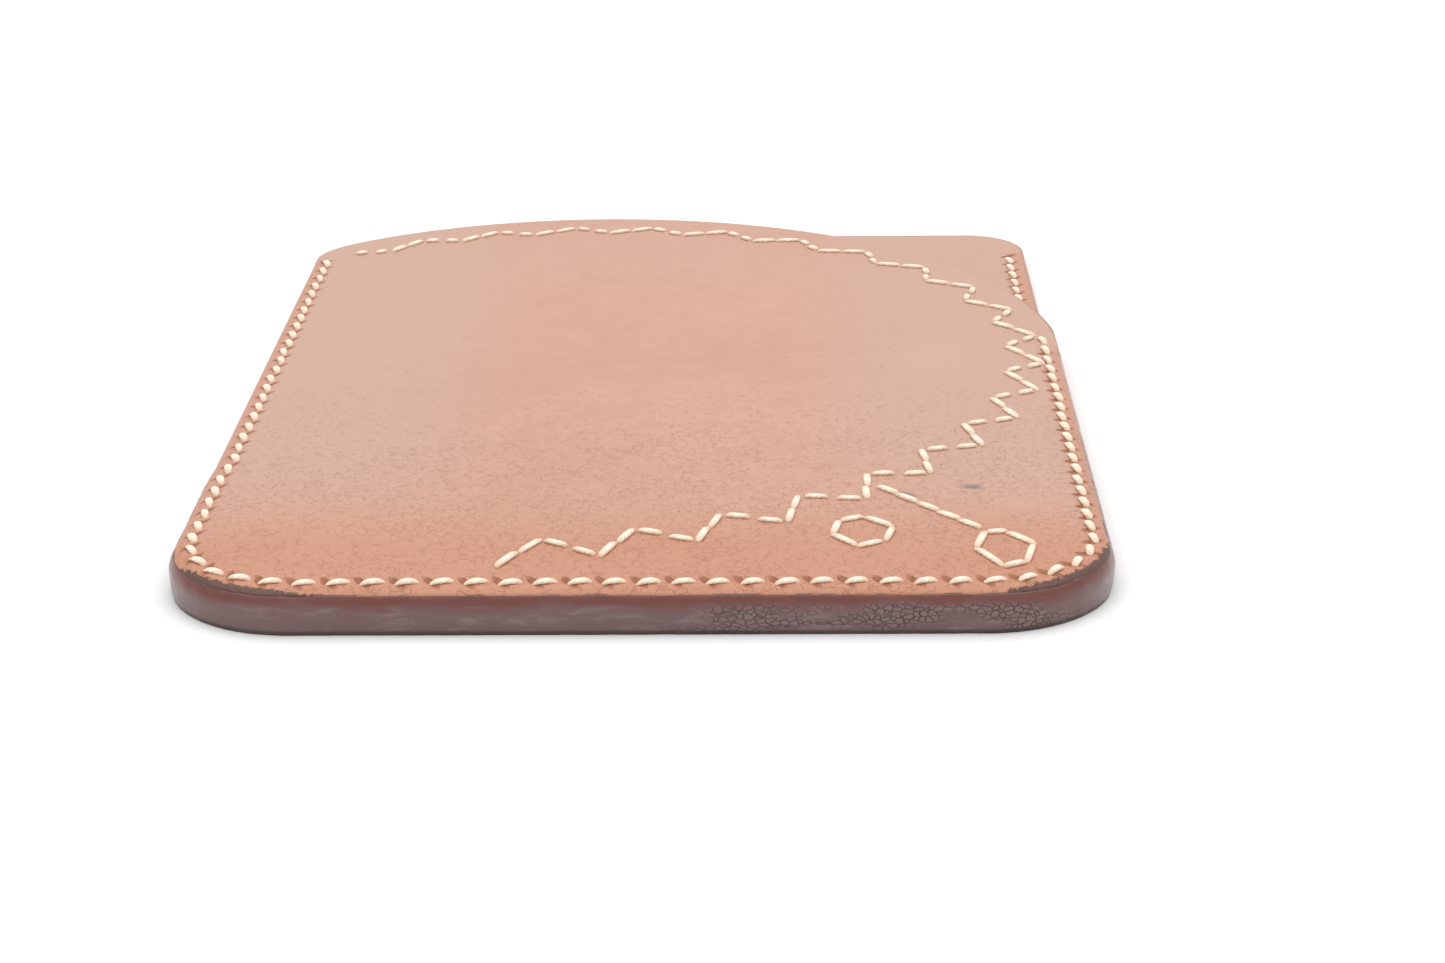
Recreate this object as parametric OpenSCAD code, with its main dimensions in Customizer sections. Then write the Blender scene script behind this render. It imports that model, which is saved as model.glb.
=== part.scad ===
// Flat leather card holder lying on its rear pocket: +X right, +Y from the sewn end to the open end, +Z up.
// Four layers of leather are sewn through along three sides, so a front pocket and a rear pocket are left open.

/* [Size] */
// Width across the two long edges
width = 76.4; // [74:0.2:80]
// Length from the sewn end to the far end
length = 107; // [104:0.5:112]
// Radius of the two corners at the sewn end
near_corner_r = 11; // [9:0.5:13]
// Radius of the far corner that shows beside the front pocket's mouth
far_corner_r = 6; // [5:0.5:6]
// Radius of the far corner behind the front pocket
hidden_corner_r = 10; // [9:0.5:12]

/* [Leather] */
// Thickness of the front panel
front_t = 1.2; // [1:0.1:1.6]
// Thickness of the U-shaped welt that holds the front pocket open
welt_t = 1.0; // [0.8:0.1:1.4]
// Thickness of the back panel
back_t = 0.9; // [0.8:0.1:1.4]
// Thickness of the rear pocket panel
rear_t = 0.8; // [0.7:0.1:1.2]
// Width of the welt's band
welt_w = 6; // [5:0.5:8]
// Thickness of the coat on the burnished edges
coat_t = 0.12; // [0.08:0.02:0.2]

/* [Mouths] */
// Radius of the front pocket's curved mouth
mouth_r = 45.5; // [44:0.5:47]
// Height up the right edge at which the mouth leaves it
mouth_y = 7.2; // [4:0.2:9]
// Radius of the front panel's corner between the mouth and the left edge
mouth_corner_r = 8; // [6:0.5:10]
// Radius of the rear pocket's slanted mouth
rear_mouth_r = 150; // [140:5:200]
// Place of the rear mouth's end on the left edge
rear_mouth_y = -26; // [-26.4:0.1:-25.8]
// How far the left edge steps in beyond the rear mouth
rear_step = 0.3; // [0.1:0.05:0.4]
// How far the right edge draws in beyond the front mouth
far_inset = 0.8; // [0.5:0.1:1]

/* [Stitching] */
// Distance from one stitch hole of the seam to the next
stitch_pitch = 2.7; // [2.7]
// Distance from the edge to the seam
seam_margin = 1.8; // [1.7:0.05:2]
// Radius of a stitch hole
hole_r = 0.45; // [0.45:0.01:0.5]
// Width of the thread
thread_w = 0.5; // [0.4:0.05:0.5]
// Height of a stitch over the leather
stitch_rise = 0.4; // [0.3:0.05:0.5]

/* [Decoration] */
// Length of the zigzag's outer guide line from one point to the next
zigzag_pitch = 8.34; // [8.34]
// Height of the zigzag's first tooth
zigzag_depth = 4.6; // [4:0.1:5]
// Height of the zigzag's last tooth
zigzag_end_depth = 1.8; // [1.6:0.1:2.6]

/* [Hidden] */

leather = [0.76, 0.52, 0.40];
flesh = [0.80, 0.66, 0.52];
thread = [0.95, 0.89, 0.78];
edge = [0.36, 0.20, 0.18];

half_w = width / 2;
half_l = length / 2;
back_z = rear_t;
welt_z = back_z + back_t;
front_z = welt_z + welt_t;
top_z = front_z + front_t;

corner_steps = 16;       // straight steps in a quarter turn
mouth_steps = 56;        // straight steps along the front mouth
ramp_steps = 6;          // straight steps where an edge draws in
step_run = 3;            // run of the left edge's step
inset_run = 10;          // run of the right edge's draw-in
hidden_inset_y = 37;     // where the back panel draws in on the left, behind the front panel
welt_end_y = 11.4;       // end of the welt's right arm
welt_left_end_y = 39.2;  // end of the welt's left arm, inside the front panel's corner
seam_start_y = 37.7;     // first stitch hole, at the top of the left edge
front_stitches = 80;     // stitches that pass through the front panel
seam_stitches = 93;      // stitches from the left edge round to the far right corner
rear_first_hole = 23;    // first seam hole that passes through the rear pocket
groove_depth = 0.4;      // stitch groove under the rear pocket, as deep as a stitch is high
groove_w = 0.7;          // width of that groove
arch_steps = 6;          // straight steps along a stitch's arch
leg_w = 0.28;            // thickness of a stitch's leg in its hole
leg_clear = 0.05;        // from the middle of a hole to a leg
zigzag_teeth = 21;       // teeth of the zigzag, which ends on one more outer point
zigzag_lead = 0.55;      // where an inner point stands between two outer ones
guide_x = 36;            // rightmost point of the zigzag's guide line
guide_y = 5.1;           // where the guide line's two arcs join
guide_near_r = 54.9;     // arc on the sewn end's side
guide_far_r = 43.2;      // arc on the mouth's side
guide_start = -78.7;     // start of the zigzag along the guide, before the joint
link_from = [19.4, -32.3];
link_to = [27.4, -42];
link_stitches = 5;
// The two hexagons are sewn by eye, so their corners are a little uneven.
left_hexagon = [[16.1, -40.2], [18.1, -39.4], [20.3, -41.7], [19.5, -44.6], [17.3, -45.6], [15.4, -43.1]];
right_hexagon = [[27.8, -42.8], [29.5, -42.7], [31.5, -45.3], [30.6, -48.8], [28.7, -49.6], [26.7, -46]];

// Points on a circular arc, from angle a0 to angle a1.
function arc(c, r, a0, a1, steps) =
  [for (i = [0:steps]) let (a = a0 + (a1 - a0) * i / steps) c + r * [cos(a), sin(a)]];

// A smooth ramp from 0 to 1.
function ramp(t) = let (u = min(max(t, 0), 1)) u * u * (3 - 2 * u);

// The two long edges, as x for a height y.
function left_x(y) = -half_w + rear_step * ramp((y - rear_mouth_y) / step_run + 0.5);
function right_x(y) = half_w - far_inset * ramp((y - mouth_y) / inset_run);
function hidden_x(y) = left_x(y) + (far_inset - rear_step) * ramp((y - hidden_inset_y) / inset_run);

// Pieces of outline shared by the layers; g grows them outwards.
function near_left(g) = arc([near_corner_r - half_w, near_corner_r - half_l], near_corner_r + g, 180, 270, corner_steps);
function near_right(g) = arc([half_w - near_corner_r, near_corner_r - half_l], near_corner_r + g, 270, 360, corner_steps);
function right_run(g) = [for (i = [0:ramp_steps]) let (y = mouth_y + inset_run * i / ramp_steps) [right_x(y) + g, y]];
function left_step(g) = [for (i = [ramp_steps:-1:0])
  let (y = rear_mouth_y + step_run * (i / ramp_steps - 0.5)) [left_x(y) - g, y]];
function hidden_run(g) = [for (i = [ramp_steps:-1:0])
  let (y = hidden_inset_y + inset_run * i / ramp_steps) [hidden_x(y) - g, min(y, half_l - hidden_corner_r)]];

// Front panel: its mouth is an arc that leaves the right edge smoothly, with a rounded corner at the left edge.
mouth_c = [half_w - mouth_r, mouth_y];
corner_cx = -half_w + rear_step + mouth_corner_r;
corner_cy = mouth_y + sqrt(pow(mouth_r - mouth_corner_r, 2) - pow(corner_cx - mouth_c.x, 2));
corner_a = atan2(corner_cy - mouth_c.y, corner_cx - mouth_c.x);
function front_outline(g) = concat(
  near_right(g), arc(mouth_c, mouth_r + g, 0, corner_a, mouth_steps),
  arc([corner_cx, corner_cy], mouth_corner_r + g, corner_a, 180, corner_steps),
  left_step(g), near_left(g));

// Back panel: the whole length, with its far end drawn in a little.
function back_outline(g) = concat(
  near_right(g), right_run(g),
  arc([half_w - far_inset - far_corner_r, half_l - far_corner_r], far_corner_r + g, 0, 90, corner_steps),
  arc([hidden_corner_r + far_inset - half_w, half_l - hidden_corner_r], hidden_corner_r + g, 90, 180, corner_steps),
  hidden_run(g), left_step(g), near_left(g));

// Rear pocket: its mouth is a shallow arc from the left edge up to the far right corner.
rear_a = [-half_w, rear_mouth_y];
rear_b = [half_w - far_inset, half_l - far_corner_r - 0.6];
rear_half = norm(rear_b - rear_a) / 2;
rear_dir = (rear_b - rear_a) / (2 * rear_half);
rear_c = (rear_a + rear_b) / 2 + sqrt(pow(rear_mouth_r, 2) - pow(rear_half, 2)) * [rear_dir.y, -rear_dir.x];
rear_a0 = atan2(rear_b.y - rear_c.y, rear_b.x - rear_c.x);
rear_a1 = atan2(rear_a.y - rear_c.y, rear_a.x - rear_c.x);
function rear_outline(g) = concat(
  near_right(g), right_run(g), arc(rear_c, rear_mouth_r + g, rear_a0, rear_a1, corner_steps), near_left(g));

// The seam's path: s runs from its first hole down the left edge, along the sewn end and up the right edge.
seam_r = near_corner_r - seam_margin;
corner_run = seam_r * PI / 2;
left_run_len = seam_start_y + half_l - near_corner_r;
near_run_len = width - 2 * near_corner_r;
s1 = left_run_len;
s2 = s1 + corner_run;
s3 = s2 + near_run_len;
s4 = s3 + corner_run;
function seam_point(s) =
  s < s1 ? let (y = seam_start_y - s) [left_x(y) + seam_margin, y] :
  s < s2 ? [near_corner_r - half_w, near_corner_r - half_l]
           + seam_r * [cos(180 + 90 * (s - s1) / corner_run), sin(180 + 90 * (s - s1) / corner_run)] :
  s < s3 ? [near_corner_r - half_w + s - s2, seam_margin - half_l] :
  s < s4 ? [half_w - near_corner_r, near_corner_r - half_l]
           + seam_r * [cos(270 + 90 * (s - s3) / corner_run), sin(270 + 90 * (s - s3) / corner_run)] :
  let (y = near_corner_r - half_l + s - s4) [right_x(y) - seam_margin, y];
seam = [for (i = [0:seam_stitches]) seam_point(i * stitch_pitch)];

// The groove under the rear pocket follows the seam, half its width to each side.
function seam_normal(s) = let (d = seam_point(s + 0.1) - seam_point(s - 0.1)) [d.y, -d.x] / norm(d);
function beside_seam(side, first, last, dir) = [for (i = [first:dir:last])
  seam_point(i * stitch_pitch) + side * seam_normal(i * stitch_pitch) * groove_w / 2];
groove_outline = concat(beside_seam(1, rear_first_hole - 1, seam_stitches, 1),
                        beside_seam(-1, seam_stitches, rear_first_hole - 1, -1));

// The zigzag follows a guide line of two arcs that join at its rightmost point.
function guide(s, inset) = let (r = s < 0 ? guide_near_r : guide_far_r, a = s / r * 180 / PI)
  [guide_x - r + (r - inset) * cos(a), guide_y + (r - inset) * sin(a)];
function zigzag_tip(i) = guide(guide_start + zigzag_pitch * i, 0);
function zigzag_root(i) = guide(guide_start + zigzag_pitch * (i + zigzag_lead),
  zigzag_depth + (zigzag_end_depth - zigzag_depth) * i / (zigzag_teeth - 1));
zigzag_corners = [for (i = [0:zigzag_teeth - 1]) each [zigzag_tip(i), zigzag_root(i)], zigzag_tip(zigzag_teeth)];

// Every leg of a line is split into the given number of stitches.
function split(points, n) = [for (i = [0:len(points) - 2]) for (k = [0:n - 1])
  points[i] + (points[i + 1] - points[i]) * k / n];
zigzag = concat(split(zigzag_corners, 2), [zigzag_corners[2 * zigzag_teeth]]);
link = [for (i = [0:link_stitches]) link_from + (link_to - link_from) * i / link_stitches];
left_ring = concat(left_hexagon, [left_hexagon[0]]);
right_ring = concat(right_hexagon, [right_hexagon[0]]);

// One stitch, an arched bar with a leg down each of its two holes.
function stitch_profile(len, depth) = concat(
  [[-len / 2, -depth]],
  [for (i = [0:arch_steps]) let (t = i / arch_steps)
    [len * (t - 0.5), stitch_rise * (0.45 + 0.55 * sin(180 * t))]],
  [[len / 2, -depth], [len / 2 - leg_w, -depth], [len / 2 - leg_w, 0],
   [leg_w - len / 2, 0], [leg_w - len / 2, -depth]]);

module stitch(a, b, z, depth, up = 1) {
  mid = (a + b) / 2;
  translate([mid.x, mid.y, z])
    rotate([0, 0, atan2(b.y - a.y, b.x - a.x)])
      mirror([0, 0, up > 0 ? 0 : 1])
        rotate([90, 0, 0])
          translate([0, 0, -thread_w / 2])
            linear_extrude(thread_w)
              polygon(stitch_profile(norm(b - a) - 2 * leg_clear, depth));
}

// A decorative line of stitches, on the face of the front panel and on its flesh side.
module stitched_line(points) {
  for (i = [0:len(points) - 2]) {
    stitch(points[i], points[i + 1], top_z, front_t / 2);
    stitch(points[i], points[i + 1], front_z, front_t / 2, -1);
  }
}

module holes(points) {
  for (p = points) translate(p) circle(hole_r, $fn = 24);
}

// The band of a layer's outline between two growths, cut to a window.
module band(outer, inner, x0, y0, x1, y1) {
  intersection() {
    difference() {
      polygon(outer);
      polygon(inner);
    }
    translate([x0, y0]) square([x1 - x0, y1 - y0]);
  }
}

module front_panel() {
  color(leather) translate([0, 0, front_z]) linear_extrude(front_t) difference() {
    polygon(front_outline(-coat_t));
    holes([for (i = [0:front_stitches]) seam[i]]);
    holes(zigzag);
    holes(link);
    holes(left_hexagon);
    holes(right_hexagon);
  }
}

module welt() {
  color(flesh) translate([0, 0, welt_z]) linear_extrude(welt_t) difference() {
    polygon(front_outline(-coat_t));
    polygon(front_outline(-welt_w));
    translate([0, welt_end_y]) square([width, length]);
    translate([-width, welt_left_end_y]) square([2 * width, length]);
    holes([for (i = [0:front_stitches]) seam[i]]);
  }
}

module back_panel() {
  color(leather) translate([0, 0, back_z]) linear_extrude(back_t) difference() {
    polygon(back_outline(-coat_t));
    holes(seam);
  }
}

module rear_pocket() {
  color(leather) difference() {
    linear_extrude(rear_t) difference() {
      polygon(rear_outline(-coat_t));
      holes([for (i = [rear_first_hole:seam_stitches]) seam[i]]);
    }
    translate([0, 0, -1]) linear_extrude(1 + groove_depth) polygon(groove_outline);
  }
}

module perimeter_thread() {
  color(thread) for (i = [0:seam_stitches - 1]) {
    on_front = i < front_stitches;
    on_rear = i >= rear_first_hole - 1;
    low = on_rear ? groove_depth : back_z;
    high = on_front ? top_z : welt_z;
    reach = (high - low) / 2;
    if (i != front_stitches) stitch(seam[i], seam[i + 1], high, reach);
    stitch(seam[i], seam[i + 1], low, reach, -1);
  }
}

module zigzag_thread() {
  color(thread) stitched_line(zigzag);
}

module left_hexagon_thread() {
  color(thread) stitched_line(left_ring);
}

module right_hexagon_thread() {
  color(thread) stitched_line(right_ring);
}

module link_thread() {
  color(thread) stitched_line(link);
}

// The coat over the sewn edge, on all the layers that meet there, up to the ends of the two mouths.
module sewn_edge_coat() {
  color(edge) {
    translate([0, 0, back_z]) linear_extrude(top_z - back_z)
      band(front_outline(0), front_outline(-coat_t), -width, -length, 0, hidden_inset_y);
    translate([0, 0, back_z]) linear_extrude(top_z - back_z)
      band(front_outline(0), front_outline(-coat_t), 0, -length, width, mouth_y);
    linear_extrude(back_z)
      band(rear_outline(0), rear_outline(-coat_t), -width, -length, 0, rear_mouth_y);
    linear_extrude(back_z)
      band(rear_outline(0), rear_outline(-coat_t), 0, -length, width, mouth_y);
  }
}

module front_mouth_coat() {
  color(edge) translate([0, 0, front_z]) linear_extrude(front_t) {
    band(front_outline(0), front_outline(-coat_t), 0, mouth_y, width, length);
    band(front_outline(0), front_outline(-coat_t), -width, hidden_inset_y, 0, length);
  }
}

module far_edge_coat() {
  color(edge) translate([0, 0, back_z]) linear_extrude(back_t) {
    band(back_outline(0), back_outline(-coat_t), 0, mouth_y, width, length);
    band(back_outline(0), back_outline(-coat_t), -width, hidden_inset_y, 0, length);
  }
}

module rear_mouth_coat() {
  color(edge) linear_extrude(rear_t) {
    band(rear_outline(0), rear_outline(-coat_t), 0, mouth_y, width, length);
    band(rear_outline(0), rear_outline(-coat_t), -width, rear_mouth_y, 0, length);
  }
}

front_panel();
welt();
back_panel();
rear_pocket();
perimeter_thread();
zigzag_thread();
left_hexagon_thread();
right_hexagon_thread();
link_thread();
sewn_edge_coat();
front_mouth_coat();
far_edge_coat();
rear_mouth_coat();
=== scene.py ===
import math

import bpy
import numpy as np
from mathutils import Matrix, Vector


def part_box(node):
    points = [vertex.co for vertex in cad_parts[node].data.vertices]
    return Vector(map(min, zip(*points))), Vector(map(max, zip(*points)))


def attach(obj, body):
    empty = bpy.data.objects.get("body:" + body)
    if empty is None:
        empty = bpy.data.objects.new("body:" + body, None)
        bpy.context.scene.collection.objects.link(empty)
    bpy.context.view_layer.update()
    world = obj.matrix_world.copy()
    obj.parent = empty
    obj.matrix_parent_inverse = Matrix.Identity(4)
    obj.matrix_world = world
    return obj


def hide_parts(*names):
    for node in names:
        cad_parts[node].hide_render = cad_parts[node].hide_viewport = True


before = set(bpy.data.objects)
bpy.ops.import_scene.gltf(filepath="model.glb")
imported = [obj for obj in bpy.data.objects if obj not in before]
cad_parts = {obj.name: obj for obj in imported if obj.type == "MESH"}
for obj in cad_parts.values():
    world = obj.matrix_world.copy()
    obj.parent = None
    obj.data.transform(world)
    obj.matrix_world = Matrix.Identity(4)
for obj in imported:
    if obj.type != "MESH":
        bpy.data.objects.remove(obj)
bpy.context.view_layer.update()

mm = 0.001
pi = math.pi


def boxOf(node):
    low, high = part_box(node)
    return np.array(low) / mm, np.array(high) / mm


sewnLow, sewnHigh = boxOf("sewn_edge_coat")
backLow, backHigh = boxOf("back_panel")

holder = {
    "halfWidth": sewnHigh[0],
    "nearY": sewnLow[1],
    "farY": boxOf("far_edge_coat")[1][1],
    "topZ": sewnHigh[2],
    "backLowZ": backLow[2],
    "backTopZ": backHigh[2],
    "weltTopZ": boxOf("welt")[1][2],
    "nearCorner": 11.0,        # corner radius at the sewn end
    "farCorner": 6.0,          # corner beside the front mouth
    "hiddenCorner": 10.0,      # corner behind the front panel
    "mouthRadius": 45.5,
    "mouthY": 7.2,             # where the front mouth leaves the right edge
    "mouthCorner": 8.0,
    "rearMouthRadius": 150.0,
    "rearMouthY": -26.0,
    "rearStep": 0.3,           # the left edge steps in beyond the rear mouth
    "stepRun": 3.0,
    "farInset": 0.8,           # the right edge draws in beyond the front mouth
    "insetRun": 10.0,
    "hiddenInsetY": 37.0,
}

seam = {
    "pitch": 2.7,
    "margin": 1.8,
    "startY": 37.7,
    "stitches": 93,
    "frontStitches": 80,
    "rearFirstHole": 23,
}


def ramp(t):
    # 0 to 1 with level ends: 3 t^2 - 2 t^3
    t = np.clip(t, 0.0, 1.0)
    return t * t * (3 - 2 * t)


def leftX(y):
    t = (y - holder["rearMouthY"]) / holder["stepRun"] + 0.5
    return -holder["halfWidth"] + holder["rearStep"] * ramp(t)


def rightX(y):
    return holder["halfWidth"] - holder["farInset"] * ramp((y - holder["mouthY"]) / holder["insetRun"])


def hiddenX(y):
    more = holder["farInset"] - holder["rearStep"]
    return leftX(y) + more * ramp((y - holder["hiddenInsetY"]) / holder["insetRun"])


def arcRun(centre, radius, start, end, step):
    # points on a circle at even angles, with the outward normal beside each
    count = max(3, int(abs(end - start) * radius / step))
    angle = np.linspace(start, end, count + 1)
    normal = np.stack([np.cos(angle), np.sin(angle)], 1)
    return np.hstack([np.array(centre) + radius * normal, normal])


def sideRun(edge, y0, y1, outward, step):
    # a long edge given as x for each height y
    y = np.linspace(y0, y1, max(3, int(abs(y1 - y0) / step)) + 1)
    slope = (edge(y + 0.01) - edge(y - 0.01)) / 0.02
    length = np.sqrt(1 + slope ** 2)
    return np.stack([edge(y), y, outward / length, -outward * slope / length], 1)


def nearRun(step):
    # down the left edge's lower end, round both near corners, up to the mouth's end on the right
    r, halfWidth, nearY = holder["nearCorner"], holder["halfWidth"], holder["nearY"]
    straight = int(2 * (halfWidth - r) / step)
    x = np.linspace(r - halfWidth, halfWidth - r, straight + 1)
    flat = np.stack([x, np.full_like(x, nearY), np.zeros_like(x), -np.ones_like(x)], 1)
    return [arcRun((r - halfWidth, nearY + r), r, pi, 1.5 * pi, step), flat,
            arcRun((halfWidth - r, nearY + r), r, 1.5 * pi, 2 * pi, step),
            sideRun(rightX, nearY + r, holder["mouthY"], 1, step)]


def joined(runs):
    # one path from runs that meet end to start, each shared point kept once
    return np.vstack([run[:-1] for run in runs[:-1]] + [runs[-1]])


mouthCentre = np.array([holder["halfWidth"] - holder["mouthRadius"], holder["mouthY"]])
cornerX = holder["rearStep"] + holder["mouthCorner"] - holder["halfWidth"]
cornerRise = math.sqrt((holder["mouthRadius"] - holder["mouthCorner"]) ** 2 - (cornerX - mouthCentre[0]) ** 2)
mouthCornerCentre = np.array([cornerX, holder["mouthY"] + cornerRise])
mouthCornerAngle = math.atan2(cornerRise, cornerX - mouthCentre[0])


def sewnPath(step, topY):
    start = sideRun(leftX, topY, holder["nearY"] + holder["nearCorner"], -1, step)
    return joined([start] + nearRun(step))


def mouthPath(step):
    return joined([arcRun(mouthCentre, holder["mouthRadius"], 0, mouthCornerAngle, step),
                   arcRun(mouthCornerCentre, holder["mouthCorner"], mouthCornerAngle, pi, step)])


def farPath(step):
    halfWidth, farY, inset = holder["halfWidth"], holder["farY"], holder["farInset"]
    right, hidden = holder["farCorner"], holder["hiddenCorner"]
    x = np.linspace(halfWidth - inset - right, hidden + inset - halfWidth, int(2 * halfWidth / step) + 1)
    flat = np.stack([x, np.full_like(x, farY), np.zeros_like(x), np.ones_like(x)], 1)
    return joined([sideRun(rightX, holder["mouthY"], farY - right, 1, step),
                   arcRun((halfWidth - inset - right, farY - right), right, 0, pi / 2, step), flat,
                   arcRun((hidden + inset - halfWidth, farY - hidden), hidden, pi / 2, pi, step),
                   sideRun(hiddenX, farY - hidden, holder["hiddenInsetY"], -1, step)])


rearStart = np.array([-holder["halfWidth"], holder["rearMouthY"]])
rearEnd = np.array([holder["halfWidth"] - holder["farInset"], holder["farY"] - holder["farCorner"] - 0.6])
rearHalf = np.linalg.norm(rearEnd - rearStart) / 2
rearAlong = (rearEnd - rearStart) / (2 * rearHalf)
rearOffset = math.sqrt(holder["rearMouthRadius"] ** 2 - rearHalf ** 2)
rearCentre = (rearStart + rearEnd) / 2 + rearOffset * np.array([rearAlong[1], -rearAlong[0]])


def rearMouthPath(step):
    first, last = rearEnd - rearCentre, rearStart - rearCentre
    arc = arcRun(rearCentre, holder["rearMouthRadius"], math.atan2(first[1], first[0]),
                 math.atan2(last[1], last[0]), step)
    return joined([sideRun(rightX, holder["mouthY"], rearEnd[1], 1, step), arc])


def loopOf(runs):
    # a closed path: the last point, which repeats the first, is left out
    return joined(runs)[:-1]


def smoothNormals(path, passes):
    # where two runs meet at an angle the normals are averaged along the closed path
    for _ in range(passes):
        n = path[:, 2:]
        n = np.roll(n, 1, 0) + 2 * n + np.roll(n, -1, 0)
        path[:, 2:] = n / np.linalg.norm(n, axis=1, keepdims=True)
    return path


dome = {
    "height": 0.45,        # how far the middle stands above the sewn margin
    "start": 2.3,          # distance from the edge at which it starts to rise
    "run": 3.5,            # how fast it rises
    "mouthShare": 0.35,    # what is left of it along the mouth
    "mouthRun": 24.0,
    "bevelWidth": 1.8,     # the margin falls away to the edge over this width
    "bevelFall": 0.385,    # fall for each square millimetre
    "troughDepth": 0.16,   # the seam pulls the leather down
    "troughWidth": 0.55,
    "lipDrop": 0.22,       # rounding of the free mouth
    "lipWidth": 0.7,
    "rightEndY": 5.2,      # the seam's dip ends here on the right edge
    "leftEndY": 36.6,      # and here on the left edge
    "endRun": 3.0,
}


def sewnDistance(x, y):
    # distance from the three sewn edges: a rounded rectangle with no far side
    r = holder["nearCorner"]
    qx = np.abs(x) - (holder["halfWidth"] - r)
    qy = -y + (holder["nearY"] + r)
    corner = r - np.hypot(np.maximum(qx, 0), np.maximum(qy, 0))
    return np.where((qx > 0) & (qy > 0), corner, np.minimum(r - qx, r - qy))


def mouthDistance(x, y):
    # distance from the free mouth: from its long arc, or from the corner's arc beside the left edge
    long = holder["mouthRadius"] - np.hypot(x - mouthCentre[0], np.maximum(y - mouthCentre[1], 0))
    dx, dy = x - mouthCornerCentre[0], y - mouthCornerCentre[1]
    inCorner = (np.arctan2(dy, dx) > mouthCornerAngle) & (dy > 0)
    return np.where(inCorner, holder["mouthCorner"] - np.hypot(dx, dy), long)


def sewnShare(x, y):
    # 1 beside the seam, 0 beside the free mouth
    end = np.where(x > 0, dome["rightEndY"], dome["leftEndY"])
    return 1 - ramp((y - end) / dome["endRun"])


def domeHeight(x, y):
    # rises from the sewn edges like 1 - exp(-distance), and lies lower near the mouth
    rise = 1 - np.exp(-np.maximum(sewnDistance(x, y) - dome["start"], 0) / dome["run"])
    far = ramp((y - holder["mouthY"]) / 15)
    low = (1 - dome["mouthShare"]) * (1 - ramp(mouthDistance(x, y) / dome["mouthRun"])) * far
    return dome["height"] * rise * (1 - low)


def frontTop(x, y):
    # the sewn margin dips at the seam and falls away to the edge like a parabola; the mouth is rounded over
    distance = sewnDistance(x, y)
    trough = -dome["troughDepth"] * np.exp(-((distance - seam["margin"]) / dome["troughWidth"]) ** 2)
    bevel = -dome["bevelFall"] * np.clip(dome["bevelWidth"] - distance, 0, dome["bevelWidth"]) ** 2
    lip = -dome["lipDrop"] * np.clip(1 - mouthDistance(x, y) / dome["lipWidth"], 0, 1) ** 2
    share = sewnShare(x, y)
    return holder["topZ"] + domeHeight(x, y) + share * (trough + bevel) + (1 - share) * lip


def frontUnder(x, y):
    return holder["weltTopZ"] + domeHeight(x, y)


def newPiece(name, points, faces, material):
    # points in millimetres, faces as rows of corner numbers
    mesh = bpy.data.meshes.new(name)
    mesh.from_pydata((np.asarray(points) * mm).tolist(), [], [list(map(int, f)) for f in faces])
    mesh.validate()
    mesh.polygons.foreach_set("use_smooth", [True] * len(mesh.polygons))
    mesh.update()
    piece = bpy.data.objects.new(name, mesh)
    bpy.context.scene.collection.objects.link(piece)
    mesh.materials.append(material)
    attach(piece, "root")
    return piece


def keepAttribute(piece, name, values):
    layer = piece.data.attributes.new(name, "FLOAT", "POINT")
    layer.data.foreach_set("value", np.asarray(values, np.float32).ravel())


def keepColumns(piece, name, values, rows):
    # one value for each column of a closed panel, the same in every ring, and 0 at its two poles
    keepAttribute(piece, name, np.append(np.tile(values, rows), [0, 0]))


def placesOf(piece):
    # the piece's points in millimetres
    co = np.zeros(len(piece.data.vertices) * 3)
    piece.data.vertices.foreach_get("co", co)
    return co.reshape(-1, 3) / mm


def gridFaces(rows, columns):
    # quads of a grid of rows by columns, with the last column joined to the first
    i = np.arange(rows - 1)[:, None]
    j = np.arange(columns)[None, :]
    after = (j + 1) % columns
    a, b = i * columns + j, i * columns + after
    c, d = (i + 1) * columns + after, (i + 1) * columns + j
    return np.stack([a, b, c, d], -1).reshape(-1, 4)


print("outlines ready")


def addNode(tree, kind, **settings):
    node = tree.nodes.new(kind)
    for key, value in settings.items():
        setattr(node, key, value)
    return node


def feed(tree, socket, value):
    # a socket takes another socket's output, a number or a colour
    if isinstance(value, bpy.types.NodeSocket):
        tree.links.new(value, socket)
    else:
        socket.default_value = value


def maths(tree, operation, *values):
    node = addNode(tree, "ShaderNodeMath", operation=operation)
    for socket, value in zip(node.inputs, values):
        feed(tree, socket, value)
    return node.outputs[0]


def plus(tree, a, b):
    return maths(tree, "ADD", a, b)


def minus(tree, a, b):
    return maths(tree, "SUBTRACT", a, b)


def times(tree, a, b):
    return maths(tree, "MULTIPLY", a, b)


def remap(tree, value, low, high, outLow=0.0, outHigh=1.0):
    # smooth step from low to high
    node = addNode(tree, "ShaderNodeMapRange", interpolation_type="SMOOTHSTEP")
    for socket, entry in zip(node.inputs, (value, low, high, outLow, outHigh)):
        feed(tree, socket, entry)
    return node.outputs[0]


def fadeOut(tree, value, low, high):
    # 1 below low and 0 above high
    return remap(tree, value, low, high, 1.0, 0.0)


def objectPlace(tree):
    return addNode(tree, "ShaderNodeTexCoord").outputs["Object"]


def attributeOf(tree, name):
    return addNode(tree, "ShaderNodeAttribute", attribute_name=name).outputs["Fac"]


def stretched(tree, vector, scale):
    node = addNode(tree, "ShaderNodeMapping")
    tree.links.new(vector, node.inputs["Vector"])
    node.inputs["Scale"].default_value = scale
    return node.outputs[0]


def noiseOf(tree, vector, scale, detail=3.0, rough=0.55, output="Fac"):
    node = addNode(tree, "ShaderNodeTexNoise")
    feed(tree, node.inputs["Vector"], vector)
    node.inputs["Scale"].default_value = scale
    node.inputs["Detail"].default_value = detail
    node.inputs["Roughness"].default_value = rough
    return node.outputs[output]


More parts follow.
